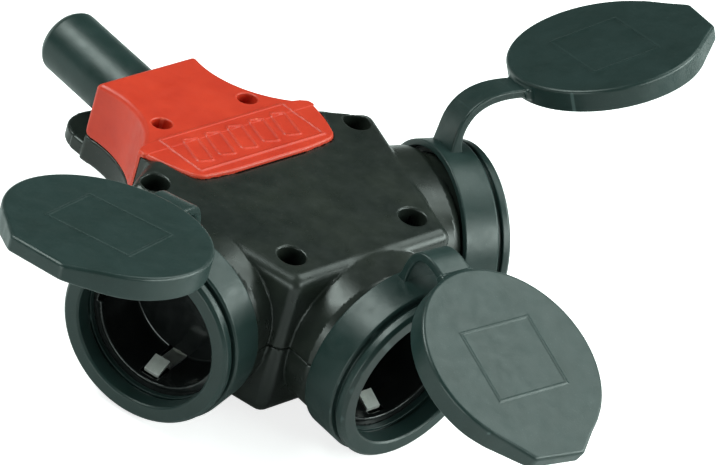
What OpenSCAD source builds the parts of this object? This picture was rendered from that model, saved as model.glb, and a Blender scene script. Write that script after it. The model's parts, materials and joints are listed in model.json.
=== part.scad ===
// Three-way splash-proof socket splitter: two-half housing, red cable cover, cable sleeve and
// three earthed sockets, each with a rubber collar and a strapped lid.
// Lengths are in millimetres, angles in degrees, +Z is up and the cable leaves along +Y.
// Every module draws around the point where the three socket axes meet, in the parting plane.
// At the end of the file placed() moves that point so the origin is the mouth of the front collar.

/* [Housing] */
// half the height of the housing
half_height = 24.5; // [24.2:0.1:25]
// distance from the meeting point to each of the three socket walls
facet_reach = 41; // [40.5:0.5:41.5]
// how far the side sockets are turned towards the front
side_turn = 17; // [16:0.5:18]
// rounding of the housing edges
edge = 4; // [3:0.5:4.5]
// half the width of the walls that carry the side sockets
side_wall = 29.7; // [29.5:0.1:30]
// wall thickness of the housing
wall = 2.6; // [2.2:0.1:3]
// rear end of the cable neck
neck_end = 64.5; // [63:0.5:65.5]
// how far the neck reaches below the parting plane
neck_drop = 9; // [8:0.5:10]
// radius of the hollow curve between body and neck
waist_radius = 31.9; // [31.6:0.1:32.2]

/* [Sockets] */
// distance from the meeting point to the face of the front collar
front_reach = 67.8; // [67.8:0.1:69]
// distance from the meeting point to the faces of the side collars
side_reach = 66.4; // [66.4:0.1:68]
// radius of the plug well
well_radius = 19.75; // [19.6:0.05:19.9]
// depth of the plug well below its rim
well_depth = 17.5; // [17:0.1:17.5]
// half the distance between the two pins
pin_offset = 9.5; // [9.4:0.1:9.6]
// radius of the barrel that carries a socket
barrel_radius = 25; // [24.8:0.1:25.2]

/* [Collars and lids] */
// outer radius of the collar
collar_radius = 28.3; // [28:0.1:28.4]
// outer radius of the front lip
lip_radius = 27.5; // [27.3:0.1:27.6]
// inner radius of the collar at the front
collar_bore = 22.3; // [22.2:0.1:22.5]
// outer radius of a lid
lid_radius = 29.8; // [29.8:0.1:30.2]
// length of one strap link between its hinges
link_length = 14.5; // [14.3:0.1:14.8]
// width of a strap
strap_width = 12; // [11:0.5:13]
// thickness of a strap
strap_thick = 3; // [2.6:0.1:3]

/* [Cable entry] */
// outer radius of the cable sleeve
sleeve_radius = 10.3; // [10:0.1:10.6]
// far end of the cable sleeve
sleeve_end = 99.5; // [97:0.5:102]
// height of the cable axis above the parting plane
cable_height = 6.5; // [6:0.1:7]
// radius of the cable hole
cable_radius = 5; // [4.5:0.1:5.4]

/* [Cover] */
// thickness of the red cover on top
cover_thick = 1.5; // [1.3:0.1:1.8]
// slope of the cover towards the cable
cover_slope = 7; // [6.5:0.1:7.5]
// thickness of the flaps of the cover
flap_thick = 1.3; // [1.1:0.1:1.4]

/* [Hidden] */
$fn = 64;

// the three sockets in order left, front, right
turn = [180 + side_turn, -90, -side_turn];
reach = [side_reach, front_reach, side_reach];
// how far each collar is turned in its seat
roll = [4.6, -4.5, -17];
// where the open lid's hinge stands, [out from the collar face, height], and how far the lid tips up
open_hinge = [[1.5, 44.8], [-2.3, 37.2], [9.4, 44]];
pitch = [9.2, -21.7, 17.5];

// screw positions on the right half
rear_screw = [39.4, 13.5];
front_screw = [23.6, -29.8];
cover_screw = [16.7, 37.5];
clamp_screw = [9, 46.5];
screw_hole = 4.2;
// the cover reaches down round its screws in two bosses
boss = 3.9;
screw_shaft = 2;
lug_thick = 4.8;

// stations along a socket axis, counted from the collar face
rim_x = -8.5;
tube_x = -10;
barrel_x = -19;
well_floor = rim_x - well_depth;
insert_back = well_floor - 2;
tube_radius = 24;
insert_radius = 22;
collar_back = -16;

// strap hinges in a socket frame
root_hinge = [-11.5, collar_radius + 1.9];
lid_hinge = [-0.5, lid_radius + 2];
// directions of the two strap links, measured up from the socket axis
function chord(i) = open_hinge[i] - root_hinge;
function chord_up(i) = atan2(chord(i)[1], chord(i)[0]);
function elbow(i) = acos(norm(chord(i)) / 2 / link_length);
rise = [for (i = [0:2]) chord_up(i) + elbow(i)];
fall = [for (i = [0:2]) chord_up(i) - elbow(i)];
knuckle = strap_thick / 2;
finger = 2;
finger_gap = 0.15;

// hollow curve beside the neck
neck_half = 33.4;
rear_wall = 23.6;
waist_x = 48.6;
waist_y = 55.1;
cover_front = 7.5;

module mirror_x() {
    children();
    mirror([1, 0, 0]) children();
}

// puts a child drawn along +X, with the collar face at x = 0, on socket number i
module at_socket(i) {
    rotate([0, 0, turn[i]]) translate([reach[i], 0, 0]) children();
}

// the same, turned with the collar
module at_collar(i) {
    at_socket(i) rotate([roll[i], 0, 0]) children();
}

// cylinder along +X from x0 to x1
module bar_x(x0, x1, r) {
    translate([x0, 0, 0]) rotate([0, 90, 0]) cylinder(r = r, h = x1 - x0);
}

// ring of revolution about X from an outline of [station, radius] points
module ring_x(outline) {
    rotate([0, 90, 0]) rotate_extrude() polygon([for (p = outline) [p[1], p[0]]]);
}

// ---- housing ----

// corner of the body outline, moved in by d from the walls
function front_corner(d) = [(facet_reach - d) * (1 - sin(side_turn)) / cos(side_turn), d - facet_reach];
function side_corner(d) = [(facet_reach - d) * cos(side_turn) + (side_wall - d) * sin(side_turn),
                           (side_wall - d) * cos(side_turn) - (facet_reach - d) * sin(side_turn)];
function rear_corner(d) = [neck_half - 0.25 * d, rear_wall - d];
function body_corners(d) = [front_corner(d), side_corner(d), rear_corner(d)];

// rounded block between the parting plane and a flat top
module body_block(height) {
    hull() mirror_x() for (p = body_corners(edge)) translate([p[0], p[1], 0]) {
        cylinder(r = edge, h = 1, $fn = 32);
        translate([0, 0, height - edge]) sphere(r = edge, $fn = 32);
    }
}

// hollow inside the block
module body_room(height) {
    hull() mirror_x() for (p = body_corners(edge)) translate([p[0], p[1], -1])
        cylinder(r = edge - wall, h = height - wall + 1, $fn = 32);
}

// hollow curve cut from both sides of the neck
module waist_cut(r, z0, z1) {
    mirror_x() translate([waist_x, waist_y, z0]) cylinder(r = r, h = z1 - z0);
}

// stands a child on the sloping seat of the cover, raised by lift
module on_slope(lift) {
    translate([0, cover_front, half_height + lift]) rotate([-cover_slope, 0, 0]) children();
}

// half space above the sloping seat of the cover, raised by lift
module above_slope(lift) {
    on_slope(lift) translate([-60, -20, 0]) cube([120, 100, 20]);
}

// neck above the parting plane; grow widens it, lift raises its top and bevel cuts its top edges
module neck_upper(grow, lift, bevel) {
    r = waist_radius - grow;
    difference() {
        translate([-neck_half, 18, 0]) cube([2 * neck_half, neck_end - 18, half_height + 2]);
        waist_cut(r, -1, half_height + 10);
        above_slope(lift);
        on_slope(lift) mirror_x() translate([waist_x, (waist_y - cover_front) / cos(cover_slope), -bevel])
            cylinder(r1 = r - 0.01, r2 = r + bevel + 0.1, h = bevel + 0.1);
    }
}

// outline of the cover seen from above, right half, as far as y
function cover_half(y) = [[0, cover_front], [21.5, cover_front], [26.5, 8.8], [32.4, 21.5],
                          [neck_half, 28.6], [neck_half, y], [0, y]];

module cover_plan(height, y) {
    mirror_x() linear_extrude(height) polygon(cover_half(y));
}

// outside of the upper half without its hollow
module upper_body() {
    difference() {
        union() {
            body_block(half_height);
            neck_upper(0, 0, 0.3);
            for (i = [0:2]) at_socket(i) bar_x(facet_reach - reach[i] - 8, barrel_x, barrel_radius);
        }
        intersection() {
            above_slope(0);
            cover_plan(40, 40);
        }
        translate([-90, -90, -60]) cube([180, 180, 60]);
    }
}

// underside of the neck rises from the block towards the cable
module neck_lower() {
    difference() {
        translate([neck_half, 0, 0]) rotate([0, -90, 0]) linear_extrude(2 * neck_half)
            polygon([[0, 18], [0, neck_end], [-neck_drop, neck_end], [-neck_drop, 44],
                     [-half_height, 25], [-half_height, 18]]);
        waist_cut(waist_radius - flap_thick, -half_height - 1, 2);
    }
}

module lower_body() {
    difference() {
        union() {
            mirror([0, 0, 1]) body_block(half_height);
            neck_lower();
            for (i = [0:2]) at_socket(i) bar_x(facet_reach - reach[i] - 8, barrel_x, barrel_radius);
        }
        translate([-90, -90, 0]) cube([180, 180, 60]);
    }
}

// room for the three sockets: insert seats and the hollow behind them
module socket_rooms() {
    for (i = [0:2]) at_socket(i) bar_x(-42, tube_x + 1, insert_radius);
}

// tubes on which the collars sit
module socket_tubes() {
    for (i = [0:2]) at_socket(i) bar_x(-30, tube_x, tube_radius);
}

module all_screw_places() {
    mirror_x() {
        translate(rear_screw) children();
        translate(front_screw) children();
        translate(cover_screw) children();
    }
}

module upper_shell() {
    color("#1c2120") difference() {
        union() {
            difference() {
                union() {
                    upper_body();
                    difference() {
                        socket_tubes();
                        translate([-90, -90, -60]) cube([180, 180, 60]);
                    }
                }
                body_room(half_height);
                socket_rooms();
                // hollow of the neck
                difference() {
                    translate([-30, 18, -1]) cube([60, neck_end - 21, half_height - 6.5]);
                    mirror_x() translate([waist_x, waist_y, -2]) cylinder(r = waist_radius + wall, h = 40);
                }
            }
            // screw posts
            intersection() {
                all_screw_places() cylinder(r = 5, h = half_height);
                upper_body();
            }
        }
        all_screw_places() translate([0, 0, -1]) cylinder(r = screw_shaft + 0.2, h = 30);
        mirror_x() {
            translate([rear_screw[0], rear_screw[1], 10]) cylinder(r = screw_hole, h = 20);
            translate([front_screw[0], front_screw[1], 10]) cylinder(r = screw_hole, h = 20);
            translate([cover_screw[0], cover_screw[1], 10]) cylinder(r = boss + 0.1, h = 20);
        }
        translate([0, neck_end + 1, cable_height]) rotate([90, 0, 0]) cylinder(r = sleeve_radius - 0.8, h = 6);
    }
}

module lower_shell() {
    color("#1c2120") difference() {
        union() {
            difference() {
                union() {
                    lower_body();
                    difference() {
                        socket_tubes();
                        translate([-90, -90, 0]) cube([180, 180, 60]);
                    }
                }
                mirror([0, 0, 1]) body_room(half_height);
                socket_rooms();
                difference() {
                    translate([-30, 18, -neck_drop + wall]) cube([60, neck_end - 21, neck_drop]);
                    mirror_x() translate([waist_x, waist_y, -20]) cylinder(r = waist_radius + wall, h = 40);
                }
            }
            // screw posts
            intersection() {
                all_screw_places() translate([0, 0, -half_height]) cylinder(r = 5, h = half_height);
                lower_body();
            }
            // posts under the cable clamp
            mirror_x() translate([clamp_screw[0], clamp_screw[1], -neck_drop]) cylinder(r = 2.6, h = neck_drop - 2);
            // hanging lug below the sleeve
            translate([0, neck_end - 3, -neck_drop]) {
                translate([-17.5, 0, 0]) cube([35, 8, lug_thick]);
                translate([-9, 0, 0]) cube([18, 16.5, lug_thick]);
                mirror_x() translate([9, 8, 0]) cylinder(r = 8.5, h = lug_thick);
            }
        }
        all_screw_places() {
            translate([0, 0, -40]) cylinder(r = screw_shaft + 0.2, h = 45);
        }
        mirror_x() {
            translate([rear_screw[0], rear_screw[1], -half_height - 1]) cylinder(r = 3.7, h = 6, $fn = 6);
            translate([front_screw[0], front_screw[1], -half_height - 1]) cylinder(r = 3.7, h = 6, $fn = 6);
            translate([cover_screw[0], cover_screw[1], -30]) cylinder(r = 3.7, h = 20, $fn = 6);
        }
        mirror_x() translate([clamp_screw[0], clamp_screw[1], -neck_drop + 2.2]) cylinder(r = 1.45, h = 10);
        translate([0, neck_end + 6, -neck_drop - 1]) cylinder(r = 3.5, h = 10);
        translate([0, neck_end + 1, cable_height]) rotate([90, 0, 0]) cylinder(r = sleeve_radius - 0.8, h = 6);
    }
}

// red cover over the neck and the rear of the body, with flaps down both sides
module cable_cover() {
    color("#d9503c") difference() {
        union() {
            difference() {
                union() {
                    cover_plate();
                    flaps();
                    neck_top();
                }
                above_slope(cover_thick);
                upper_body();
                // nothing below the seat inside the body
                translate([-36, 0, 0]) cube([72, 25, 20]);
            }
            cover_frame();
            // bosses round the cover screws
            difference() {
                mirror_x() translate([cover_screw[0], cover_screw[1], 12.6]) cylinder(r = boss, h = 12);
                above_slope(cover_thick - 0.1);
            }
        }
        mirror_x() translate(cover_screw) cylinder(r = boss - 0.8, h = 40);
        translate([0, neck_end + 1, cable_height]) rotate([90, 0, 0]) cylinder(r = sleeve_radius - 0.8, h = 6);
    }
}

// front part of the cover, on the body
module cover_plate() {
    difference() {
        translate([0, 0, 18]) cover_plan(20, 30);
        waist_cut(waist_radius - flap_thick, 0, 50);
    }
}

// flaps beside the neck
module flaps() {
    intersection() {
        neck_upper(flap_thick, cover_thick, 2);
        translate([-60, 26, 0.5]) cube([120, neck_end, 40]);
    }
}

// the part of the cover on top of the neck
module neck_top() {
    intersection() {
        neck_upper(flap_thick, cover_thick, 2);
        translate([-60, 28, 16.5]) cube([120, 60, 30]);
    }
}

// plain raised frame with slanting grip bars on the cover
module cover_frame() {
    on_slope(cover_thick) {
        difference() {
            translate([-24, 4, -0.4]) cube([48, 19, 0.8]);
            translate([-23, 5, -1]) cube([46, 17, 3]);
        }
        for (k = [-2:2]) translate([k * 8.5, 13.5, 0]) rotate([0, 0, -18])
            translate([-1.5, -6, -0.4]) cube([3, 12, 0.8]);
    }
}

// ---- screws and nuts ----

// pan head screw, head underside at z = 0, shaft down
module screw(head_r, head_h, shaft_r, length) {
    difference() {
        cylinder(r = head_r, h = head_h);
        translate([-head_r * 0.7, -0.35, head_h - 0.9]) cube([head_r * 1.4, 0.7, 2]);
        translate([-0.35, -head_r * 0.7, head_h - 0.9]) cube([0.7, head_r * 1.4, 2]);
    }
    translate([0, 0, -length]) cylinder(r = shaft_r, h = length + 0.1);
}

module shell_screws() {
    color("#b8bcbe") mirror_x() {
        translate([rear_screw[0], rear_screw[1], 10]) screw(3.5, 2.4, screw_shaft, 32.5);
        translate([front_screw[0], front_screw[1], 10]) screw(3.5, 2.4, screw_shaft, 32.5);
    }
}

module cover_screws() {
    color("#b8bcbe") mirror_x() translate([cover_screw[0], cover_screw[1], 10]) screw(3, 2.2, screw_shaft, 23);
}

// hexagon nut with its top at z = 0
module nut() {
    difference() {
        translate([0, 0, -3]) cylinder(r = 3.6, h = 3, $fn = 6);
        translate([0, 0, -4]) cylinder(r = screw_shaft + 0.05, h = 5);
    }
}

module shell_nuts() {
    color("#b8bcbe") mirror_x() {
        translate([rear_screw[0], rear_screw[1], -half_height + 5]) nut();
        translate([front_screw[0], front_screw[1], -half_height + 5]) nut();
        translate([cover_screw[0], cover_screw[1], -10]) nut();
    }
}

// ---- cable entry ----

// smooth rubber sleeve with a flange behind the rear wall of the housing
module cable_sleeve() {
    seat = sleeve_radius - 0.8;
    color("#3f5c5a") translate([0, 0, cable_height]) rotate([-90, 0, 0]) difference() {
        union() {
            translate([0, 0, neck_end]) cylinder(r = sleeve_radius, h = sleeve_end - neck_end - 2);
            translate([0, 0, sleeve_end - 2]) cylinder(r1 = sleeve_radius, r2 = sleeve_radius - 1.5, h = 2);
            translate([0, 0, neck_end - 5]) cylinder(r = seat, h = 6);
            translate([0, 0, neck_end - 6]) cylinder(r = sleeve_radius + 0.1, h = 3);
        }
        translate([0, 0, neck_end - 8]) cylinder(r = cable_radius, h = 60);
        // wider mouth inside the neck, so the cable finds its way
        translate([0, 0, neck_end - 9]) cylinder(r = cable_radius + 0.6, h = 9.5);
    }
}

module cable_clamp() {
    color("#2b2f31") difference() {
        union() {
            translate([-11.5, 43, -2]) cube([23, 7, 3.5]);
            translate([-6.5, 43, -2]) cube([13, 7, 5]);
        }
        translate([0, 42, cable_height]) rotate([-90, 0, 0]) cylinder(r = cable_radius, h = 10);
        mirror_x() translate([clamp_screw[0], clamp_screw[1], -3]) cylinder(r = 1.45, h = 10);
    }
}

module clamp_screws() {
    color("#b8bcbe") mirror_x() translate([clamp_screw[0], clamp_screw[1], 1.5]) screw(2.3, 1.6, 1.4, 7.5);
}

module terminal_block() {
    color("#d8d2c2") difference() {
        translate([-11, 20, wall - neck_drop]) cube([22, 11, 10.4]);
        for (x = [-7, 0, 7]) {
            translate([x, 25.5, -2]) cylinder(r = 1.7, h = 10);
            translate([x, 32, -2]) rotate([90, 0, 0]) cylinder(r = 1.8, h = 8);
        }
    }
}

module terminal_screws() {
    color("#c9a544") for (x = [-7, 0, 7]) translate([x, 25.5, 2]) {
        difference() {
            cylinder(r = 1.6, h = 2.6);
            translate([-1.2, -0.25, 2]) cube([2.4, 0.5, 1]);
        }
        translate([0, 0, -2.5]) cylinder(r = 1.1, h = 2.6);
    }
}

// ---- contacts ----

// brass rail joining one pin sleeve of every socket; side is +1 or -1, level its height
module pin_rail(side, level) {
    color("#c9a544") {
        for (i = [0:2]) {
            at_socket(i) {
                translate([0, side * pin_offset, 0]) difference() {
                    bar_x(insert_back - 9, insert_back - 0.1, 3.2);
                    bar_x(insert_back - 7.5, insert_back + 1, 2.5);
                }
                translate([insert_back - 9, side * pin_offset - 2.5, min(0, level)])
                    cube([1.5, 5, abs(level) + 0.6]);
                // arm towards the middle of the housing
                translate([-reach[i], side * pin_offset - 2.5, level - 0.6])
                    cube([reach[i] + insert_back - 8, 5, 1.2]);
            }
        }
        translate([-13, -14, level - 0.6]) cube([26, 28, 1.2]);
        translate([side * 7 - 2, 10, level - 0.6]) cube([4, 9.2, 1.2]);
        translate([side * 7 - 2, 18, min(level, -4)]) cube([4, 1.8, abs(level + 4) + 0.6]);
    }
}

module live_rail() {
    pin_rail(1, 9);
}

module neutral_rail() {
    pin_rail(-1, -11);
}

module earth_rail() {
    color("#c9a544") {
        for (i = [0:2]) at_socket(i) translate([-reach[i], -2.5, -0.6])
            cube([reach[i] + insert_back - 1.5, 5, 1.2]);
        translate([0, 0, -0.6]) cylinder(r = 8, h = 1.2);
        translate([-2, 0, -0.6]) cube([4, 19.8, 1.2]);
    }
}

// U-shaped spring that reaches both earth contacts of one well
module earth_clip(i) {
    leg = 20.3;
    color("#c8ccce") at_socket(i) {
        translate([insert_back - 1.4, -2.5, -leg - 1]) cube([1.2, 5, 2 * leg + 2]);
        for (s = [-1, 1]) scale([1, 1, s]) {
            translate([insert_back - 1.4, -2.5, leg]) cube([10, 5, 1]);
            // bent spring face inside the well
            translate([0, 2.5, 0]) rotate([90, 0, 0]) linear_extrude(5)
                polygon([[insert_back + 8, leg], [insert_back + 11, leg - 3.5], [insert_back + 16, leg - 1],
                         [insert_back + 16, leg], [insert_back + 11, leg - 2.4], [insert_back + 8.6, leg + 1],
                         [insert_back + 8, leg + 1]]);
        }
    }
}

// ---- sockets ----

// plug well with pin holes, slots for the earth clip and a front rim
module insert(i) {
    color("#17191a") at_socket(i) difference() {
        union() {
            bar_x(insert_back, rim_x, insert_radius - 0.05);
            bar_x(tube_x, rim_x, tube_radius - 0.1);
        }
        bar_x(well_floor, 1, well_radius);
        for (s = [-1, 1]) {
            translate([0, s * pin_offset, 0]) bar_x(insert_back - 1, 0, 2.9);
            translate([insert_back - 1, -3, s * 21.5 - 2.5]) cube([18.5, 6, 5]);
            // guide notches at the sides of the rim
            translate([rim_x - 5, s * well_radius - 1, -4]) cube([6, 2, 8]);
        }
    }
}

// ---- collars, straps and lids ----

module collar(i) {
    color("#3f5c5a") at_collar(i) {
        ring_x([[collar_back, collar_radius - 2], [-13, collar_radius - 2], [-13, tube_radius],
                [rim_x, tube_radius], [rim_x, collar_bore], [-6.6, collar_bore], [-6.6, collar_bore + 0.9],
                [-5.4, collar_bore + 0.9], [-5.4, collar_bore], [-0.6, collar_bore],
                [0, collar_bore + 0.6], [0, lip_radius - 1], [-1, lip_radius], [-3, lip_radius],
                [-3, lip_radius - 1.3], [-4.6, lip_radius - 1.3], [-4.6, collar_radius - 0.5],
                [-5.1, collar_radius], [collar_back, collar_radius]]);
        // web and middle knuckle of the strap root
        translate([root_hinge[0] - knuckle, -finger, collar_radius - 0.8])
            cube([strap_thick, 2 * finger, root_hinge[1] - collar_radius + 0.8]);
        translate([root_hinge[0], finger, root_hinge[1]]) rotate([90, 0, 0])
            cylinder(r = knuckle, h = 2 * finger);
    }
}

// puts a child drawn from a hinge along +X at the hinge, pointing up by angle
module at_hinge(p, angle) {
    translate([p[0], 0, p[1]]) rotate([0, -angle, 0]) children();
}

function along(p, angle) = [p[0] + link_length * cos(angle), p[1] + link_length * sin(angle)];

// one strap link: two outer knuckles at x = 0 and a middle knuckle at the far end
module strap_link(near, far) {
    side = strap_width / 2 - finger - finger_gap;
    translate([near, -strap_width / 2, -knuckle]) cube([link_length - near - far, strap_width, strap_thick]);
    for (s = [-1, 1]) {
        y0 = s > 0 ? finger + finger_gap : -strap_width / 2;
        translate([0, y0, -knuckle]) cube([near + 0.5, side, strap_thick]);
        translate([0, y0 + side, 0]) rotate([90, 0, 0]) cylinder(r = knuckle, h = side);
    }
    translate([link_length - far - 0.5, -finger, -knuckle]) cube([far + 0.5, 2 * finger, strap_thick]);
    translate([link_length, finger, 0]) rotate([90, 0, 0]) cylinder(r = knuckle, h = 2 * finger);
}

module strap_root(i) {
    color("#3f5c5a") at_collar(i) at_hinge(root_hinge, rise[i]) strap_link(2.8, 4);
}

module strap_tip(i) {
    color("#3f5c5a") at_collar(i) at_hinge(along(root_hinge, rise[i]), fall[i]) strap_link(4, 2.8);
}

// lid drawn as it sits closed on the collar
module closed_lid() {
    inside = lid_radius - 1.6;
    difference() {
        union() {
            ring_x([[-4, 0], [-4, lid_radius], [1.8, lid_radius], [3, lid_radius - 1.2], [3, 0]]);
            // straight pull tab opposite the strap
            rotate([-6, 0, 0]) translate([-2, 0, 0]) rotate([90, 0, 90]) linear_extrude(5)
                polygon([[-19.4, -22.2], [-8.8, -32], [8.8, -32], [19.4, -22.2]]);
            for (y0 = [-strap_width / 2, finger + finger_gap]) {
                side = strap_width / 2 - finger - finger_gap;
                translate([lid_hinge[0], y0 + side, lid_hinge[1]]) rotate([90, 0, 0])
                    cylinder(r = knuckle, h = side);
                translate([lid_hinge[0] - knuckle, y0, lid_radius - 2])
                    cube([strap_thick, side, lid_hinge[1] - lid_radius + 2]);
            }
            // thin raised frame on the outer face
            difference() {
                translate([2.5, -13.8, -11.5]) cube([0.8, 27.6, 23]);
                translate([2, -13.2, -10.9]) cube([2, 26.4, 21.8]);
            }
        }
        bar_x(-5, 0.4, inside);
    }
}

module lid(i) {
    color("#3f5c5a") at_collar(i) at_hinge(open_hinge[i], pitch[i]) rotate([0, -90, 0])
        translate([-lid_hinge[0], 0, -lid_hinge[1]]) closed_lid();
}

// puts the origin in the middle of the front collar's mouth
module placed() {
    translate([0, front_reach - 3, 0]) children();
}

placed() lower_shell();
placed() upper_shell();
placed() cable_cover();
placed() shell_screws();
placed() cover_screws();
placed() shell_nuts();
placed() cable_sleeve();
placed() cable_clamp();
placed() clamp_screws();
placed() terminal_block();
placed() terminal_screws();
placed() live_rail();
placed() neutral_rail();
placed() earth_rail();
placed() insert(0);  // insert_left
placed() insert(1);  // insert_front
placed() insert(2);  // insert_right
placed() earth_clip(0);  // earth_clip_left
placed() earth_clip(1);  // earth_clip_front
placed() earth_clip(2);  // earth_clip_right
placed() collar(0);  // collar_left
placed() collar(1);  // collar_front
placed() collar(2);  // collar_right
placed() strap_root(0);  // strap_root_left
placed() strap_root(1);  // strap_root_front
placed() strap_root(2);  // strap_root_right
placed() strap_tip(0);  // strap_tip_left
placed() strap_tip(1);  // strap_tip_front
placed() strap_tip(2);  // strap_tip_right
placed() lid(0);  // lid_left
placed() lid(1);  // lid_front
placed() lid(2);  // lid_right
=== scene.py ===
import json
import math
import bpy
import numpy as np
from mathutils import Matrix, Vector


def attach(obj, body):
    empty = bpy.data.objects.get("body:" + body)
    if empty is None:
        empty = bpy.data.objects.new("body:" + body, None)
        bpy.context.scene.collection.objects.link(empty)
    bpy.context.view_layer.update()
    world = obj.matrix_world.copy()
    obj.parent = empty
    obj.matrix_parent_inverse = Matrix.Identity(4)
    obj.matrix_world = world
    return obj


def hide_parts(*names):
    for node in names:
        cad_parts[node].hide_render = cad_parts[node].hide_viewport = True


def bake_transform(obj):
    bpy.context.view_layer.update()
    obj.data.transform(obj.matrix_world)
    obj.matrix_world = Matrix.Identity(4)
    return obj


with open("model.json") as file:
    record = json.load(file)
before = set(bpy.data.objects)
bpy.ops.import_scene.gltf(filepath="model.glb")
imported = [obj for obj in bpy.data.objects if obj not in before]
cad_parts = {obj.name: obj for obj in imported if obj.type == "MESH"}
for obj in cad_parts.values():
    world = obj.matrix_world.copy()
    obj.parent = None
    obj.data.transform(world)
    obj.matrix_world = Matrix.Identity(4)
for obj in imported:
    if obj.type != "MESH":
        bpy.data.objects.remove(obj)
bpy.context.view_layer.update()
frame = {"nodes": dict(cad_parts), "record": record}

# Three-way splash-proof socket splitter. Shapes are worked out in millimetres around the hub, the
# point where the three socket axes meet, with +Z up and the cable leaving along +Y.
MM = 0.001
HUB = Vector((0.0, 64.8, 0.0))

# housing
HALF_HEIGHT = 24.5
FACET = 41.0
SIDE_TURN = math.radians(17.0)
SIDE_WALL = 29.7
REAR_WALL = 23.6
NECK_HALF = 33.4
EDGE = 4.0
WALL = 2.6
NECK_START = 18.0
NECK_END = 64.5
NECK_DROP = 9.0
WAIST = (48.6, 55.1, 31.9)
COVER_FRONT = 7.5
COVER_SLOPE = math.radians(7.0)
COVER_THICK = 1.5
FLAP_THICK = 1.3
COVER_CORNERS = ((21.5, COVER_FRONT), (26.5, 8.8), (32.4, 21.5), (NECK_HALF, 28.6))
REAR_SCREW = (39.4, 13.5)
FRONT_SCREW = (23.6, -29.8)
COVER_SCREW = (16.7, 37.5)
SCREW_HOLE = 4.2
SCREW_SHAFT = 2.2
POST = 5.0
BOSS = 3.9
NUT = 3.2
NUT_TOP = -19.5
COVER_NUT_TOP = -10.0
CLAMP_SCREW = (9.0, 46.5)
CLAMP_POST = 2.6
CLAMP_HOLE = 1.45

# sockets, in order left, front, right; stations along an axis count from the collar face
NAMES = ("left", "front", "right")
TURN = (math.pi + SIDE_TURN, -math.pi / 2, -SIDE_TURN)
REACH = (66.4, 67.8, 66.4)
ROLL = tuple(math.radians(a) for a in (4.6, -4.5, -17.0))
PITCH = tuple(math.radians(a) for a in (9.2, -21.7, 17.5))
OPEN_HINGE = ((1.5, 44.8), (-2.3, 37.2), (9.4, 44.0))
BARREL_WIDE = 26.4
BARREL_HIGH = 24.4
# exponent of the section, where 2 is an ellipse; its fall towards the hub; its cone behind the collar
BARREL_SQUARE = 2.4
BARREL_FALL = 0.06
BARREL_CONE = 0.3
BARREL_FILLET = 0.35
CONE_END = -16.3
BARREL_END = -19.0
TUBE = 24.0
TUBE_END = -10.0
SEAT = 22.0
RIM = -8.5
WELL = 19.75
WELL_FLOOR = -26.0
INSERT_BACK = -28.0
PIN_OFFSET = 9.5
PIN_HOLE = 2.9

# collars, lids and straps
COLLAR = 28.3
COLLAR_BACK = -16.0
SKIRT_END = -13.0
LIP = 27.5
MOUTH = 22.3
LID = 29.8
LID_TOP = 3.0
LID_WALL = 1.6
LID_HINGE = (-0.5, LID + 2.0)
STRAP_WIDTH = 11.6
STRAP_THICK = 2.7
# where each soft strap stands on its collar, and how far it runs straight on from collar and lid
STRAP_FOOT = (-9.5, -13.5, -10.5)
STRAP_REACH = ((17.0, 13.0), (11.0, 12.0), (20.5, 3.0))
# how far it runs into collar and lid, its steps, and the steps where its three lengths meet
STRAP_SUNK = (1.5, 3.2)
STRAP_STEPS = 90
STRAP_CUTS = (0, 27, 63, STRAP_STEPS)

# cable entry
SLEEVE = 10.3
SLEEVE_END = 99.5
CABLE_HEIGHT = 6.5
CABLE = 5.0


# ---- signed distances in millimetres, negative inside ----

def either(a, b, fillet=0.0):
    """Union of two shapes with a round fillet between them."""
    if fillet == 0:
        return np.minimum(a, b)
    corner = np.hypot(np.maximum(fillet - a, 0), np.maximum(fillet - b, 0))
    return np.maximum(np.minimum(a, b), fillet) - corner


def both(a, b, rounding=0.0):
    """What two shapes share, with a rounded edge."""
    return -either(-a, -b, rounding)


def without(a, b, rounding=0.0):
    """First shape with the second cut away, with a rounded edge."""
    return -either(-a, b, rounding)


def polygon(x, y, corners):
    """Signed distance to a closed outline in a plane."""
    nearest, inside = np.inf, False
    for (x0, y0), (x1, y1) in zip(corners, corners[1:] + corners[:1]):
        ex, ey = x1 - x0, y1 - y0
        wx, wy = x - x0, y - y0
        along = np.clip((wx * ex + wy * ey) / (ex * ex + ey * ey), 0, 1)
        nearest = np.minimum(nearest, (wx - ex * along) ** 2 + (wy - ey * along) ** 2)
        if ey != 0:
            crossed = ((y0 <= y) != (y1 <= y)) & (x0 + ex * wy / ey > x)
            inside = inside ^ crossed
    return np.where(inside, -1, 1) * np.sqrt(nearest)


def slab(u, low, high):
    """Signed distance to the space between two parallel planes."""
    return np.maximum(low - u, u - high)


def rounded_prism(flat, height, top, rounding):
    """Prism over a flat outline that is already moved in by the rounding."""
    rise = height - (top - rounding)
    outside = np.hypot(np.maximum(flat, 0), np.maximum(rise, 0))
    return outside + np.minimum(np.maximum(flat, rise), 0) - rounding


def ridge(distance, rise, width):
    """Height of a soft raised line, from the distance to its middle."""
    return rise * np.exp(-(distance / width) ** 2)


# ---- meshes ----

def new_mesh(name, points, faces, normals=None):
    """Mesh from points in millimetres."""
    mesh = bpy.data.meshes.new(name)
    mesh.from_pydata((np.asarray(points) * MM).tolist(), [], [list(f) for f in faces])
    mesh.shade_smooth()
    if normals is not None:
        mesh.normals_split_custom_set_from_vertices(normals.tolist())
    return mesh


def slope_of(shape, p, h=0.03):
    """Direction in which a signed distance grows fastest, at each point."""
    columns = []
    for axis in range(3):
        step = np.zeros(3)
        step[axis] = h
        columns.append((shape(*(p + step).T) - shape(*(p - step).T)) / (2 * h))
    return np.stack(columns, 1)


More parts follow.
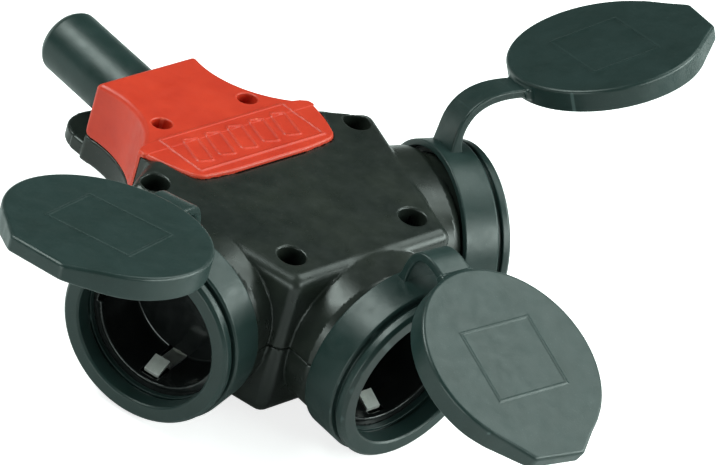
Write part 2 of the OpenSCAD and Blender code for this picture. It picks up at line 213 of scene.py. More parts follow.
def surface(name, shape, low, high, step):
    """Closed mesh around the inside of a signed distance: one point in each grid cell the surface
    crosses, moved onto the surface, and one face across each grid edge it crosses."""
    # the margin is no whole number of steps, so no flat face lies on the grid's own planes
    low = np.array(low, float) - 2.37 * step
    count = np.ceil((np.array(high, float) + 2.37 * step - low) / step).astype(int)
    axes = [low[k] + step * np.arange(count[k]) for k in range(3)]
    value = np.array(np.broadcast_to(shape(*np.meshgrid(*axes, indexing="ij", sparse=True)), count))
    inside = value < 0
    cells = count - 1
    corners = sum(inside[i:i + cells[0], j:j + cells[1], k:k + cells[2]].astype(np.int8)
                  for i in (0, 1) for j in (0, 1) for k in (0, 1))
    crossed = (corners > 0) & (corners < 8)
    index = np.full(cells, -1)
    index[crossed] = np.arange(crossed.sum())
    cell = np.argwhere(crossed)
    total, hits = np.zeros((len(cell), 3)), np.zeros(len(cell))
    unit = np.eye(3, dtype=int)
    for axis in range(3):
        for a in (0, 1):
            for b in (0, 1):
                start = cell + a * unit[axis - 2] + b * unit[axis - 1]
                end = start + unit[axis]
                va, vb = value[tuple(start.T)], value[tuple(end.T)]
                cut = (va < 0) != (vb < 0)
                share = va[cut] / (va[cut] - vb[cut])
                total[cut] += start[cut] + share[:, None] * unit[axis]
                hits[cut] += 1
    p = low + step * total / hits[:, None]
    for _ in range(4):
        d, g = shape(*p.T), slope_of(shape, p)
        move = d / np.maximum((g * g).sum(1), 0.2)
        p -= np.clip(move, -step, step)[:, None] * g * 0.9
    g = slope_of(shape, p, 0.08)
    normals = g / np.maximum(np.linalg.norm(g, axis=1), 1e-6)[:, None]
    faces = []
    for axis in range(3):
        near = np.take(inside, range(count[axis] - 1), axis)
        far = np.take(inside, range(1, count[axis]), axis)
        node = np.argwhere(near != far)
        u, v = unit[axis - 2], unit[axis - 1]
        ring = [index[tuple((node - shift).T)] for shift in (u + v, v, 0 * u, u)]
        quad = np.stack(ring, 1)
        outward = near[tuple(node.T)]
        quad[~outward] = quad[~outward][:, ::-1]
        faces.append(quad)
    return new_mesh(name, p, np.concatenate(faces), normals)


def rounded_outline(corners, radius, parts=4):
    """Closed outline with each corner replaced by an arc, and a point close to each arc's ends."""
    points = []
    n = len(corners)
    for k, corner in enumerate(corners):
        here = np.array(corner[:2], float)
        before = np.array(corners[k - 1][:2], float) - here
        after = np.array(corners[(k + 1) % n][:2], float) - here
        la, lb = np.linalg.norm(before), np.linalg.norm(after)
        before, after = before / la, after / lb
        half = math.acos(float(np.clip(before @ after, -1, 1))) / 2
        r = corner[2] if len(corner) > 2 else radius
        cut = min(r / math.tan(half), 0.45 * la, 0.45 * lb)
        start, end = here + before * cut, here + after * cut
        for s in np.linspace(0, 1, parts + 1):
            points.append((1 - s) ** 2 * start + 2 * s * (1 - s) * here + s * s * end)
    spaced = []
    for k, p in enumerate(points):
        q = points[(k + 1) % len(points)]
        spaced.append(p)
        length = np.linalg.norm(q - p)
        if length > 1.0:
            spaced += [p + (q - p) * 0.3 / length, q - (q - p) * 0.3 / length]
    return spaced


def lathe(name, corners, radius=0.3, parts=160):
    """Ring about +X from an outline of (station, radius[, rounding]) corners."""
    outline = rounded_outline(corners, radius)
    n = len(outline)
    points, faces = [], []
    for k in range(parts):
        a = 2 * math.pi * k / parts
        points += [(p[0], p[1] * math.cos(a), p[1] * math.sin(a)) for p in outline]
        following = (k + 1) % parts
        faces += [(k * n + j, k * n + (j + 1) % n, following * n + (j + 1) % n, following * n + j)
                  for j in range(n)]
    area = sum(p[0] * q[1] - q[0] * p[1] for p, q in zip(outline, outline[1:] + outline[:1]))
    if area > 0:
        faces = [f[::-1] for f in faces]
    return new_mesh(name, points, faces)


# ---- places ----

def turn_about(axis, angle):
    return Matrix.Rotation(angle, 4, axis)


def hub_place():
    return Matrix.Translation(HUB * MM)


def socket_place(i, rolled=False):
    """Stands at the collar face of socket i with +X outward; rolled turns it with the collar."""
    place = hub_place() @ turn_about("Z", TURN[i]) @ Matrix.Translation((REACH[i] * MM, 0, 0))
    return place @ turn_about("X", ROLL[i]) if rolled else place


def lid_place(i):
    """Carries the lid from where it is drawn, closed on the collar, to where it hangs open."""
    x, z = OPEN_HINGE[i]
    return (socket_place(i, True) @ Matrix.Translation((x * MM, 0, z * MM))
            @ turn_about("Y", -PITCH[i] - math.pi / 2)
            @ Matrix.Translation((-LID_HINGE[0] * MM, 0, -LID_HINGE[1] * MM)))


def put(name, mesh, place, look, body=None, stands_for=()):
    """Adds a piece, its material and its place in the frame."""
    mesh = mesh.copy()
    mesh.name = name
    mesh.transform(place)
    mesh.materials.append(LOOKS[look])
    piece = bpy.data.objects.new(name, mesh)
    bpy.context.scene.collection.objects.link(piece)
    if stands_for:
        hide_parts(*stands_for)
    if body:
        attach(piece, body)
    return piece


# ---- housing ----

def body_corners(d):
    """Outline of the housing seen from above, moved in by d."""
    s, c = math.sin(SIDE_TURN), math.cos(SIDE_TURN)
    reach, side = FACET - d, SIDE_WALL - d
    right = [(reach * (1 - s) / c, -reach), (reach * c + side * s, side * c - reach * s),
             (NECK_HALF - 0.25 * d, REAR_WALL - d)]
    return right + [(-x, y) for x, y in reversed(right)]


def along_socket(i, x, y):
    """Distance out along socket axis i and sideways from it."""
    c, s = math.cos(TURN[i]), math.sin(TURN[i])
    return x * c + y * s, y * c - x * s


def barrel(i, x, y, z):
    """Barrel with a softly squared section, slightly conical behind the collar."""
    out, side = along_socket(i, x, y)
    high = BARREL_HIGH - BARREL_FALL * np.maximum(FACET - 3 - out, 0)
    sideways, upward = np.abs(side) / BARREL_WIDE, np.abs(z) / high
    squared = (sideways ** BARREL_SQUARE + upward ** BARREL_SQUARE) ** (1 / BARREL_SQUARE)
    cone = BARREL_CONE * np.maximum(out - (REACH[i] + BARREL_END), 0)
    tube = both((squared - 1) * BARREL_HIGH + cone, out - (REACH[i] + CONE_END), 0.6)
    return np.maximum(tube, 14 - out)


def sockets(x, y, z, inner, radius, end):
    """Three cylinders on the socket axes, from inner out to the station end."""
    found = np.inf
    for i in range(3):
        out, side = along_socket(i, x, y)
        cylinder = np.maximum(np.hypot(side, z) - radius, slab(out, inner, REACH[i] + end))
        found = np.minimum(found, cylinder)
    return found


def above_slope(y, z, lift=0.0):
    """Negative below the sloping seat of the cover, raised by lift."""
    return (y - COVER_FRONT) * math.sin(COVER_SLOPE) + (z - HALF_HEIGHT - lift) * math.cos(COVER_SLOPE)


def waist(x, y, grow=0.0):
    """Neck between two round hollows in its sides, seen from above."""
    return WAIST[2] - grow - np.hypot(np.abs(x) - WAIST[0], y - WAIST[1])


def neck_upper(x, y, z):
    walls = both(waist(x, y), above_slope(y, z), 0.5)
    walls = both(walls, y - NECK_END, 0.8)
    return np.maximum(walls, np.maximum(np.abs(x) - NECK_HALF, NECK_START - y))


def cover_plan(x, y):
    """Outline of the cover's front plate seen from above, with rounded corners."""
    plan = COVER_FRONT - y
    for (x0, y0), (x1, y1) in zip(COVER_CORNERS, COVER_CORNERS[1:]):
        outside = (np.abs(x) - x0) * (y1 - y0) - (y - y0) * (x1 - x0)
        plan = both(plan, outside / math.hypot(x1 - x0, y1 - y0), 2.5)
    return plan


def upper_body(x, y, z):
    block = rounded_prism(polygon(x, y, body_corners(EDGE)), z, HALF_HEIGHT, EDGE)
    for i in range(3):
        block = either(block, barrel(i, x, y, z), BARREL_FILLET)
    whole = either(block, neck_upper(x, y, z), 1.5)
    recess = np.maximum(-above_slope(y, z), cover_plan(x, y) - 0.1)
    return without(whole, recess, 0.3)


def neck_lower(x, y, z):
    """The underside of the neck rises from the block towards the cable."""
    side = polygon(y, z, [(NECK_START, 4), (NECK_END, 4), (NECK_END, -NECK_DROP), (44, -NECK_DROP),
                          (25, -HALF_HEIGHT), (NECK_START, -HALF_HEIGHT)])
    return both(both(waist(x, y, FLAP_THICK), side, 2.0), np.abs(x) - NECK_HALF, 1.0)


def lug(x, y, z):
    """Hanging lug below the sleeve, with its hole."""
    y = y - (NECK_END - 3)
    square = np.maximum(np.abs(x) - 17.5, slab(y, 0, 8))
    tongue = either(square, np.maximum(np.abs(x) - 9, slab(y, 0, 16.5)))
    tongue = either(tongue, np.hypot(np.abs(x) - 9, y - 8) - 8.5, 1.0)
    flat = without(tongue, np.hypot(x, y - 9) - 3.5, 0.5)
    return both(flat, slab(z, -NECK_DROP, -NECK_DROP + 4.8), 0.8)


def lower_body(x, y, z):
    block = rounded_prism(polygon(x, y, body_corners(EDGE)), -z, HALF_HEIGHT, EDGE)
    for i in range(3):
        block = either(block, barrel(i, x, y, z), BARREL_FILLET)
    whole = either(block, neck_lower(x, y, z), 2.0)
    return either(whole, lug(x, y, z), 1.0)


def screw_places(x, y, places=(REAR_SCREW, FRONT_SCREW, COVER_SCREW)):
    """Distance to the nearest screw axis."""
    near = np.inf
    for px, py in places:
        near = np.minimum(near, np.hypot(np.abs(x) - px, y - py))
    return near


def sleeve_seat(x, y, z):
    """Hole in the rear wall for the sleeve."""
    return np.maximum(np.hypot(x, z - CABLE_HEIGHT) - (SLEEVE - 0.8), slab(y, NECK_END - 6, NECK_END + 2))


def neck_room(x, y):
    """Room for the cable inside the neck, seen from above."""
    return np.maximum(waist(x, y, -WALL), np.maximum(np.abs(x) - 30, slab(y, NECK_START, NECK_END - 3)))


def upper_shell(x, y, z):
    outside = upper_body(x, y, z)
    tubes = sockets(x, y, z, 36, TUBE, TUBE_END)
    room = np.maximum(polygon(x, y, body_corners(WALL)), z - (HALF_HEIGHT - WALL))
    room = np.minimum(room, np.maximum(neck_room(x, y), z - (HALF_HEIGHT - 7.5)))
    room = np.maximum(room, POST - screw_places(x, y))
    shell = without(either(outside, tubes), room)
    shell = without(shell, sockets(x, y, z, 24, SEAT, TUBE_END + 1))
    shell = without(shell, screw_places(x, y, [REAR_SCREW, FRONT_SCREW]) - SCREW_HOLE, 0.6)
    shell = without(shell, screw_places(x, y, [COVER_SCREW]) - BOSS - 0.1)
    shell = either(shell, np.maximum(np.maximum(screw_places(x, y) - POST, z - 10), outside))
    shell = without(shell, screw_places(x, y) - SCREW_SHAFT)
    shell = without(shell, sleeve_seat(x, y, z), 0.3)
    return both(shell, 0.02 - z, 0.5)


def hexagon(x, y, centre, across):
    """Distance to hexagons at plus and minus the centre's X, with a flat side along X."""
    u, v = np.abs(np.abs(x) - centre[0]), np.abs(y - centre[1])
    return np.maximum(v, u * math.cos(math.pi / 6) + v / 2) - across


def lower_shell(x, y, z):
    outside = lower_body(x, y, z)
    tubes = sockets(x, y, z, 36, TUBE, TUBE_END)
    room = np.maximum(polygon(x, y, body_corners(WALL)), -z - (HALF_HEIGHT - WALL))
    room = np.minimum(room, np.maximum(neck_room(x, y), -z - (NECK_DROP - WALL)))
    room = np.maximum(room, POST - screw_places(x, y))
    shell = without(either(outside, tubes), room)
    clamp_posts = np.maximum(screw_places(x, y, [CLAMP_SCREW]) - CLAMP_POST, slab(z, -NECK_DROP + 1, -2))
    shell = either(shell, clamp_posts)
    shell = without(shell, sockets(x, y, z, 24, SEAT, TUBE_END + 1))
    shell = without(shell, screw_places(x, y) - SCREW_SHAFT)
    for place, top in ((REAR_SCREW, NUT_TOP), (FRONT_SCREW, NUT_TOP), (COVER_SCREW, COVER_NUT_TOP)):
        shell = without(shell, np.maximum(hexagon(x, y, place, NUT), z - top), 0.3)
    clamp_holes = np.maximum(screw_places(x, y, [CLAMP_SCREW]) - CLAMP_HOLE, -NECK_DROP + 2.2 - z)
    shell = without(shell, clamp_holes)
    shell = without(shell, sleeve_seat(x, y, z), 0.3)
    return both(shell, z + 0.02, 0.5)


# ---- cover ----

def slanted_bars(x, y):
    """Outline of five plain slanting grip bars and the frame round them, on the sloping top."""
    frame_line = np.abs(np.maximum(np.abs(x), np.abs(y - 13.5) + 14.5) - 24.0)
    bars = np.inf
    c, s = math.cos(math.radians(-18)), math.sin(math.radians(-18))
    for k in range(-2, 3):
        u, v = x - 8.5 * k, y - 13.5
        u, v = u * c + v * s, v * c - u * s
        box = np.hypot(np.maximum(np.abs(u) - 1.6, 0), np.maximum(np.abs(v) - 5.2, 0)) - 0.9
        bars = np.minimum(bars, np.abs(box))
    return np.minimum(frame_line, bars)


def cover(x, y, z):
    top = above_slope(y, z, COVER_THICK)
    on_slope = (y - COVER_FRONT) / math.cos(COVER_SLOPE)
    line = slanted_bars(x, on_slope)
    top = top - ridge(line, 0.38, 0.42)
    sides = both(waist(x, y, FLAP_THICK), y - NECK_END, 1.8)
    capped = both(sides, top, 1.8)
    plate = both(both(both(cover_plan(x, y), top, 0.9), 18 - z), waist(x, y, FLAP_THICK), 0.5)
    plate = np.maximum(plate, y - 30)
    # flaps, rounded at the lower rear corner
    flaps = both(np.maximum(capped, 26 - y), both(y - NECK_END, 0.5 - z, 3.0), 0.4)
    bridge = np.maximum(capped, np.maximum(28 - y, 16.5 - z))
    neck = both(either(flaps, bridge), np.abs(x) - NECK_HALF, 0.5)
    whole = either(plate, neck, 0.6)
    whole = without(whole, upper_body(x, y, z) - 0.06)
    whole = np.maximum(whole, -np.maximum(np.abs(x) - 36, np.maximum(y - 25, z - 20)))
    holes = screw_places(x, y, [COVER_SCREW])
    boss = both(np.maximum(holes - BOSS, 12.6 - z), top)
    whole = without(either(whole, boss), holes - BOSS + 0.8, 0.45)
    return without(whole, sleeve_seat(x, y, z), 0.3)


# ---- sockets ----

def insert(x, y, z):
    """Plug well with pin holes, slots for the earth spring and a rim."""
    r = np.hypot(y, z)
    cup = np.maximum(r - SEAT + 0.05, slab(x, INSERT_BACK, RIM))
    cup = either(cup, both(r - TUBE + 0.1, slab(x, TUBE_END, RIM), 0.3), 0.2)
    cup = without(cup, both(r - WELL, WELL_FLOOR - x, 0.8), 0.45)
    cup = without(cup, np.hypot(np.abs(y) - PIN_OFFSET, z) - PIN_HOLE, 0.5)
    slot = np.maximum(np.abs(y) - 3, np.maximum(slab(np.abs(z), 19, 24), x - WELL_FLOOR - 15.5))
    cup = without(cup, slot, 0.3)
    notch = np.maximum(np.abs(z) - 4, np.maximum(slab(np.abs(y), 18, WELL + 1), slab(x, RIM - 5, 1)))
    return without(cup, notch, 0.4)


def lid(x, y, z):
    """Lid drawn closed on the collar: outer face towards +X, strap pad towards +Z."""
    c, s = math.cos(math.radians(-6)), math.sin(math.radians(-6))
    u, v = y * c + z * s, z * c - y * s
    tab = polygon(u, v, [(-17.9, -20.4), (-8, -29.5), (8, -29.5), (17.9, -20.4), (0, 0)]) - 2.5
    r = np.hypot(y, z)
    flat = either(r - LID, tab, 0.4)
    # the pull tab thins towards its straight end
    underside = -4.0 + 2.4 * np.clip((-v - 16.0) / 16.0, 0, 1) ** 2
    whole = both(both(flat, x - LID_TOP, 1.1), underside - x, 0.5)
    pad = both(both(np.abs(y) - 6.4, slab(x, -2.0, 1.0), 0.8), slab(z, LID - 6, LID + 1.3), 0.6)
    whole = either(whole, pad, 1.2)
    frame_line = np.abs(np.maximum(np.abs(y), np.abs(z) + 2.3) - 13.5)
    whole = whole - ridge(frame_line, 0.2, 0.4) * (x > LID_TOP - 1)
    hollow = both(r - (LID - LID_WALL), x - 0.4, 1.0)
    return without(whole, hollow, 0.5)


# ---- straps ----

def strap_line(i):
    """Middle line of a strap at rest, in the collar's X and Z: up from the collar, over to the lid."""
    heading = np.array([math.cos(PITCH[i]), math.sin(PITCH[i])])
    foot = np.array([STRAP_FOOT[i], COLLAR - STRAP_SUNK[0]])
    end = np.array(OPEN_HINGE[i]) + STRAP_SUNK[1] * heading
    up, back = foot + (0, STRAP_REACH[i][0]), end - STRAP_REACH[i][1] * heading
    s = np.linspace(0, 1, STRAP_STEPS + 1)[:, None]
    return (1 - s) ** 3 * foot + 3 * s * (1 - s) ** 2 * up + 3 * s * s * (1 - s) * back + s ** 3 * end


def band(name, line, tangent, widths, thicknesses):
    """Strap along a line in X and Z, with a rounded section and closed ends."""
    across = np.stack([-tangent[:, 1], tangent[:, 0]], 1)
    points, faces, normals = [], [], []
    for k, centre in enumerate(line):
        w, t = widths[k] / 2, thicknesses[k] / 2
        section = rounded_outline([(-w, -t), (w, -t), (w, t), (-w, t)], 0.8, 5)
        for side, rise in section:
            points.append((centre[0] + rise * across[k][0], side, centre[1] + rise * across[k][1]))
        ahead = np.roll(section, -1, axis=0) - np.roll(section, 1, axis=0)
        for along, up in ahead / np.linalg.norm(ahead, axis=1)[:, None]:
            normals.append((-along * across[k][0], up, -along * across[k][1]))
    n = len(section)
    for k in range(len(line) - 1):
        near, far = k * n, (k + 1) * n
        faces += [(near + j, near + (j + 1) % n, far + (j + 1) % n, far + j) for j in range(n)]
    body_points = len(points)
    points += points[:n] + points[body_points - n:body_points]
    for end, sign in ((0, -1), (-1, 1)):
        normals += [(sign * tangent[end][0], 0.0, sign * tangent[end][1])] * n
    faces.append(tuple(reversed(range(body_points, body_points + n))))
    faces.append(tuple(range(body_points + n, body_points + 2 * n)))
    return new_mesh(name, points, faces, np.array(normals))


def add_strap(i):
    """Strap in three curved lengths; each stands for the CAD strap links at its ends."""
    name = NAMES[i]
    line = strap_line(i)
    tangent = np.gradient(line, axis=0)
    tangent /= np.linalg.norm(tangent, axis=1)[:, None]
    links = ("housing", "strap_root_" + name, "strap_tip_" + name, "lid_" + name)
    for k, part in enumerate(("foot", "bend", "neck")):
        length = slice(STRAP_CUTS[k], STRAP_CUTS[k + 1] + 1)
        piece_line = line[length]
        rest = np.linspace(0, 1, len(piece_line))
        swell = (k == 0) * np.clip(1 - rest / 0.4, 0, 1) ** 2
        mesh = band("strap", piece_line, tangent[length], STRAP_WIDTH + swell, STRAP_THICK + 1.6 * swell)
        place = socket_place(i, True)
        stands_for = [link for link in links[k:k + 2] if link.startswith("strap")]
        piece = put("strap_%s_%s" % (part, name), mesh, place, "rubber_green", stands_for=stands_for)
        bpy.context.view_layer.update()
        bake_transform(piece)


# ---- materials ----

class Nodes:
    """Short way to build a node material."""

    def __init__(self, name):
        self.material = bpy.data.materials.new(name)
        self.material.use_nodes = True
        self.tree = self.material.node_tree
        self.shader = self.tree.nodes["Principled BSDF"]
        self.place = self.add("ShaderNodeTexCoord").outputs["Object"]

    def add(self, kind, **settings):
        node = self.tree.nodes.new(kind)
        for key, value in settings.items():
            setattr(node, key, value)
        return node

    def join(self, source, target):
        self.tree.links.new(source, target)

    def noise(self, size, detail=3.0, rough=0.55, stretch=None):
        """Noise with blobs about size millimetres across."""
        node = self.add("ShaderNodeTexNoise")
        node.inputs["Scale"].default_value = 1 / (size * MM)
        node.inputs["Detail"].default_value = detail
        node.inputs["Roughness"].default_value = rough
        if stretch:
            mapping = self.add("ShaderNodeMapping")
            mapping.inputs["Scale"].default_value = stretch
            self.join(self.place, mapping.inputs["Vector"])
            self.join(mapping.outputs["Vector"], node.inputs["Vector"])
        else:
            self.join(self.place, node.inputs["Vector"])
        return node.outputs["Fac"]

    def spread(self, source, low, high, to_low=0.0, to_high=1.0):
        node = self.add("ShaderNodeMapRange")
        for key, value in zip(("From Min", "From Max", "To Min", "To Max"), (low, high, to_low, to_high)):
            node.inputs[key].default_value = value
        self.join(source, node.inputs["Value"])
        return node.outputs["Result"]

    def mix(self, share, a, b):
        """Mix of two colours, each a colour or an output."""
        node = self.add("ShaderNodeMix", data_type="RGBA")
        self.join(share, node.inputs[0])
        for value, socket in ((a, node.inputs[6]), (b, node.inputs[7])):
            if isinstance(value, tuple):
                socket.default_value = (*value, 1)
            else:
                self.join(value, socket)
        return node.outputs[2]

    def math(self, how, a, b):
        node = self.add("ShaderNodeMath", operation=how)
        for value, socket in zip((a, b), node.inputs):
            if isinstance(value, (int, float)):
                socket.default_value = value
            else:
                self.join(value, socket)
        return node.outputs[0]

    def bump(self, height, depth, strength=1.0, after=None):
        """Bump of depth millimetres; more than one can be chained."""
        node = self.add("ShaderNodeBump")
        node.inputs["Distance"].default_value = depth * MM
        node.inputs["Strength"].default_value = strength
        self.join(height, node.inputs["Height"])
        if after:
            self.join(after, node.inputs["Normal"])
        return node.outputs["Normal"]

    def edges(self, low, high):
        """Pointiness spread from low to high: 1 along outer edges when low is below high, 1 in creases when
        low is above high; it masks edge wear, painted edge highlights and painted shade in creases.
        """
        return self.spread(self.add("ShaderNodeNewGeometry").outputs["Pointiness"], low, high)

    def finish(self, **values):
        for key, value in values.items():
            socket = self.shader.inputs[key.replace("_", " ")]
            if isinstance(value, bpy.types.NodeSocket):
                self.join(value, socket)
            elif isinstance(value, tuple):
                socket.default_value = (*value, 1)
            else:
                socket.default_value = value
        return self.material


def housing_black():
    n = Nodes("housing_black")
    clouds = n.noise(16, 4)
    specks = n.spread(n.noise(0.7, 2), 0.66, 0.78)
    color = n.mix(n.spread(clouds, 0.35, 0.7), (0.009, 0.0125, 0.0105), (0.019, 0.023, 0.018))
    color = n.mix(n.math("MULTIPLY", specks, 0.35), color, (0.10, 0.10, 0.09))
    # painted highlight along outer edges, partly wear: lighter colour where pointiness is high
    color = n.mix(n.math("MULTIPLY", n.edges(0.52, 0.62), 0.3), color, (0.06, 0.066, 0.063))
    rough = n.spread(n.noise(5, 4), 0.3, 0.7, 0.26, 0.40)
    grain = n.bump(n.noise(0.45, 2), 0.012)
    normal = n.bump(n.noise(7, 2), 0.05, 1.0, grain)
    return n.finish(Base_Color=color, Roughness=rough, Normal=normal, Specular_IOR_Level=0.5)


def rubber_green():
    n = Nodes("rubber_green")
    clouds = n.noise(12, 4)
    dust = n.spread(n.noise(0.6, 3), 0.62, 0.80)
    color = n.mix(n.spread(clouds, 0.3, 0.7), (0.007, 0.020, 0.0175), (0.012, 0.028, 0.026))
    color = n.mix(n.math("MULTIPLY", dust, 0.3), color, (0.08, 0.12, 0.115))
    # painted highlight along outer edges, partly wear: lighter green where pointiness is high
    color = n.mix(n.math("MULTIPLY", n.edges(0.53, 0.66), 0.45), color, (0.11, 0.16, 0.155))
    rough = n.spread(n.noise(4, 4), 0.3, 0.7, 0.30, 0.44)
    grain = n.bump(n.noise(0.35, 3), 0.02)
    normal = n.bump(n.noise(6, 2), 0.015, 1.0, grain)
    return n.finish(Base_Color=color, Roughness=rough, Normal=normal, Sheen_Weight=0.04,
                    Sheen_Tint=(0.55, 0.8, 0.8), Sheen_Roughness=0.5)


def cover_red():
    n = Nodes("cover_red")
    clouds = n.noise(11, 4)
    color = n.mix(n.spread(clouds, 0.3, 0.7), (0.56, 0.031, 0.011), (0.66, 0.046, 0.017))
    # painted highlight along outer edges: lighter red where pointiness is high
    color = n.mix(n.math("MULTIPLY", n.edges(0.52, 0.60), 0.5), color, (0.85, 0.20, 0.12))
    # painted shade in creases: darker red where pointiness is low
    color = n.mix(n.math("MULTIPLY", n.edges(0.48, 0.40), 0.5), color, (0.35, 0.02, 0.01))
    rough = n.spread(n.noise(3, 4), 0.3, 0.7, 0.36, 0.48)
    grain = n.bump(n.noise(0.4, 2), 0.014)
    normal = n.bump(n.noise(5, 2), 0.04, 1.0, grain)
    return n.finish(Base_Color=color, Roughness=rough, Normal=normal, Subsurface_Weight=0.06,
                    Subsurface_Scale=0.002)


def insert_black():
    n = Nodes("insert_black")
    color = n.mix(n.spread(n.noise(6, 3), 0.3, 0.7), (0.006, 0.007, 0.007), (0.012, 0.013, 0.013))
    # painted highlight along edges such as the well's rim: lighter where pointiness is high
    color = n.mix(n.math("MULTIPLY", n.edges(0.53, 0.62), 0.35), color, (0.09, 0.10, 0.10))
    rough = n.spread(n.noise(3, 3), 0.3, 0.7, 0.10, 0.22)
    normal = n.bump(n.noise(4, 2), 0.03)
    return n.finish(Base_Color=color, Roughness=rough, Normal=normal)


def metal(name, dark, bright, low, high, brush, metallic=1.0):
    """Metal with fine drawn lines, stains and worn patches."""
    n = Nodes(name)
    lines = n.noise(1.2, 3, 0.6, brush)
    color = n.mix(n.spread(n.noise(2.5, 4), 0.35, 0.65), dark, bright)
    rough = n.spread(lines, 0.3, 0.7, low, high)
    normal = n.bump(lines, 0.01)
    return n.finish(Base_Color=color, Roughness=rough, Normal=normal, Metallic=metallic)


def block_cream():
    n = Nodes("block_cream")
    color = n.mix(n.spread(n.noise(4, 4), 0.3, 0.7), (0.62, 0.56, 0.42), (0.72, 0.67, 0.54))
    rough = n.spread(n.noise(2, 3), 0.3, 0.7, 0.40, 0.55)
    return n.finish(Base_Color=color, Roughness=rough, Normal=n.bump(n.noise(0.5, 2), 0.02))


LOOKS = {
    "housing_black": housing_black(),
    "cover_red": cover_red(),
    "rubber_green": rubber_green(),
    "insert_black": insert_black(),
    "contact_nickel": metal("contact_nickel", (0.80, 0.80, 0.76), (0.92, 0.92, 0.88), 0.30, 0.45, (1, 6, 1),
                            0.5),
    "steel": metal("steel", (0.42, 0.43, 0.44), (0.60, 0.61, 0.62), 0.25, 0.42, (1, 1, 5)),
    "brass": metal("brass", (0.62, 0.43, 0.16), (0.80, 0.60, 0.26), 0.22, 0.38, (6, 1, 1)),
    "block_cream": block_cream(),
}


# ---- pieces ----

def add_housing():
    place = hub_place()
    box = ((-63, -60, 0), (63, NECK_END + 1, 26))
    put("upper_shell_skin", surface("upper_shell_skin", upper_shell, *box, 0.7), place, "housing_black",
        "housing", ("upper_shell",))
    box = ((-63, -60, -26), (63, NECK_END + 18, 0))
    put("lower_shell_skin", surface("lower_shell_skin", lower_shell, *box, 0.8), place, "housing_black",
        "housing", ("lower_shell",))
    box = ((-36, COVER_FRONT, 0), (36, NECK_END, 27))
    put("cover_skin", surface("cover_skin", cover, *box, 0.42), place, "cover_red",
        "housing", ("cable_cover",))


def add_sleeve():
    seat = SLEEVE - 0.8
    outline = [(NECK_END + 0.5, CABLE), (NECK_END + 0.5, CABLE + 0.6), (NECK_END - 6, CABLE + 0.6),
               (NECK_END - 6, SLEEVE + 0.1), (NECK_END - 3, SLEEVE + 0.1),
               (NECK_END - 3, seat), (NECK_END, seat), (NECK_END, SLEEVE),
               (SLEEVE_END - 2, SLEEVE, 2.0), (SLEEVE_END, SLEEVE - 1.5, 0.8), (SLEEVE_END, CABLE, 0.6)]
    place = hub_place() @ Matrix.Translation((0, 0, CABLE_HEIGHT * MM)) @ turn_about("Z", math.pi / 2)
    put("sleeve_skin", lathe("sleeve_skin", outline), place, "rubber_green", "housing", ("cable_sleeve",))


def add_sockets():
    ring = lathe("collar_skin", [
        (COLLAR_BACK, COLLAR - 2), (SKIRT_END, COLLAR - 2), (SKIRT_END, TUBE), (RIM, TUBE), (RIM, MOUTH),
        (-6.6, MOUTH, 0.15), (-6.6, MOUTH + 0.9, 0.15), (-5.4, MOUTH + 0.9, 0.15), (-5.4, MOUTH, 0.15),
        (-0.6, MOUTH, 0.4), (0, MOUTH + 0.6, 0.4), (0, LIP - 1, 0.6), (-1, LIP, 0.6), (-3, LIP, 0.3),
        (-3, LIP - 1.3, 0.2), (-4.6, LIP - 1.3, 0.2), (-4.6, COLLAR - 0.5, 0.3), (-5.1, COLLAR, 0.5),
        (COLLAR_BACK, COLLAR, 0.5)])
    box = ((INSERT_BACK, -TUBE, -TUBE), (RIM, TUBE, TUBE))
    cup = surface("insert_skin", insert, *box, 0.45)
    box = ((-4, -LID, -33), (3.4, LID, LID + 2))
    cap = surface("lid_skin", lid, *box, 0.45)
    for i, name in enumerate(NAMES):
        put("collar_skin_" + name, ring, socket_place(i, True), "rubber_green",
            "housing", ("collar_" + name,))
        put("insert_skin_" + name, cup, socket_place(i), "insert_black",
            "housing", ("insert_" + name,))
        put("lid_skin_" + name, cap, lid_place(i), "rubber_green", "lid_" + name, ("lid_" + name,))
        add_strap(i)


def dress_small_parts():
    """Screws, nuts, contacts and clamp keep their CAD shape, with softened edges."""
    for part in frame["record"]["subparts"]:
        node = frame["nodes"][part["node"]]
        node.data.materials.clear()
        node.data.materials.append(LOOKS[part["material_slot"]])
        if not node.hide_render:
            soften = node.modifiers.new("soften", "BEVEL")
            soften.width = 0.15 * MM
            soften.segments = 2
            soften.limit_method = "ANGLE"
            soften.angle_limit = math.radians(50)
            soften.harden_normals = True


# ---- camera, light and floor ----

def add_camera():
    azimuth, elevation, roll = math.radians(-51.0), math.radians(34.5), math.radians(17.2)
    aim, distance = (HUB + Vector((20.5, -15.3, 9.1))) * MM, 1.513
    back = Vector((math.sin(azimuth) * math.cos(elevation), -math.cos(azimuth) * math.cos(elevation),
                   math.sin(elevation)))
    right = Vector((math.cos(azimuth), math.sin(azimuth), 0.0))
    up = back.cross(right)
    right, up = math.cos(roll) * right + math.sin(roll) * up, math.cos(roll) * up - math.sin(roll) * right
    data = bpy.data.cameras.new("camera")
    data.sensor_width = 36.0
    data.lens = 259.25
    data.clip_end = 10.0
    camera = bpy.data.objects.new("camera", data)
    bpy.context.scene.collection.objects.link(camera)
    place = Matrix((right, up, back)).transposed().to_4x4()
    place.translation = aim + distance * back
    camera.matrix_world = place
    bpy.context.scene.camera = camera


LIGHT_TINT = (0.86, 1.0, 0.95)


def add_softbox(name, direction, distance, size, power):
    """Square soft light that looks at the hub from a direction."""
    light = bpy.data.lights.new(name, "AREA")
    light.shape = "RECTANGLE"
    light.size, light.size_y = size
    light.energy = power
    light.color = LIGHT_TINT
    lamp = bpy.data.objects.new(name, light)
    bpy.context.scene.collection.objects.link(lamp)
    toward = Vector(direction).normalized()
    lamp.location = HUB * MM + toward * distance
    lamp.rotation_euler = (-toward).to_track_quat("-Z", "Y").to_euler()


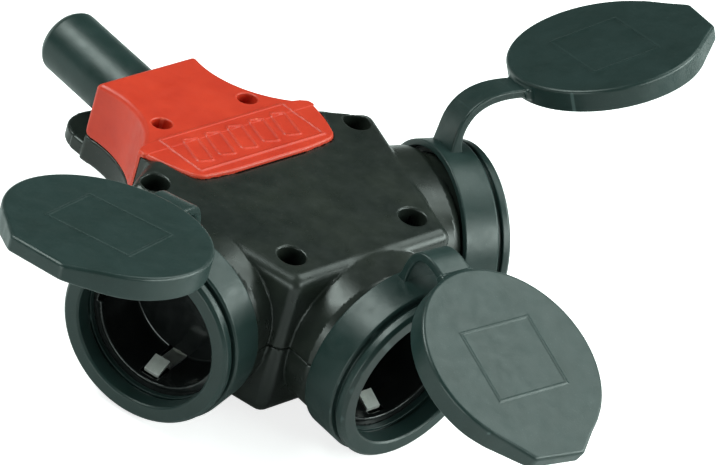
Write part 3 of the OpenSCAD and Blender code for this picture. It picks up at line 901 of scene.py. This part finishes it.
def add_room():
    world = bpy.data.worlds.new("world")
    bpy.context.scene.world = world
    world.use_nodes = True
    tree = world.node_tree
    room = tree.nodes["Background"]
    room.inputs[0].default_value = (*LIGHT_TINT, 1)
    room.inputs[1].default_value = 0.10
    seen = tree.nodes.new("ShaderNodeBackground")
    seen.inputs[0].default_value = (1, 1, 1, 1)
    seen.inputs[1].default_value = 0.97
    path = tree.nodes.new("ShaderNodeLightPath")
    mix = tree.nodes.new("ShaderNodeMixShader")
    tree.links.new(path.outputs["Is Camera Ray"], mix.inputs[0])
    tree.links.new(room.outputs[0], mix.inputs[1])
    tree.links.new(seen.outputs[0], mix.inputs[2])
    tree.links.new(mix.outputs[0], tree.nodes["World Output"].inputs["Surface"])
    add_softbox("key_right", (0.75, -0.55, 0.38), 0.8, (0.5, 0.3), 4.5)
    add_softbox("top_right", (0.62, -0.05, 0.78), 0.8, (0.5, 0.5), 2.6)
    add_softbox("top_back", (-0.36, 0.52, 0.77), 0.8, (0.5, 0.4), 5)
    add_softbox("front_low", (0.22, -0.86, 0.44), 0.8, (0.3, 0.3), 3)
    add_softbox("left_low", (-0.95, -0.25, 0.12), 0.8, (0.5, 0.25), 2)


def add_floor():
    """Pale floor under the collars; it shines a little to the camera, so it stays near white."""
    half, level = 3.0, -COLLAR * MM
    mesh = bpy.data.meshes.new("floor")
    corners = [(-half, -half, level), (half, -half, level), (half, half, level), (-half, half, level)]
    mesh.from_pydata(corners, [], [(0, 1, 2, 3)])
    floor = bpy.data.objects.new("floor", mesh)
    bpy.context.scene.collection.objects.link(floor)
    n = Nodes("floor")
    mesh.materials.append(n.finish(Base_Color=(0.80, 0.80, 0.80), Roughness=0.9))
    glow = n.add("ShaderNodeEmission")
    path = n.add("ShaderNodeLightPath")
    n.join(n.math("MULTIPLY", path.outputs["Is Camera Ray"], 0.78), glow.inputs["Strength"])
    total = n.add("ShaderNodeAddShader")
    n.join(n.shader.outputs[0], total.inputs[0])
    n.join(glow.outputs[0], total.inputs[1])
    n.join(total.outputs[0], n.tree.nodes["Material Output"].inputs["Surface"])


add_camera()
add_room()
add_floor()
add_housing()
add_sleeve()
add_sockets()
dress_small_parts()
bpy.context.scene.view_settings.view_transform = "Standard"
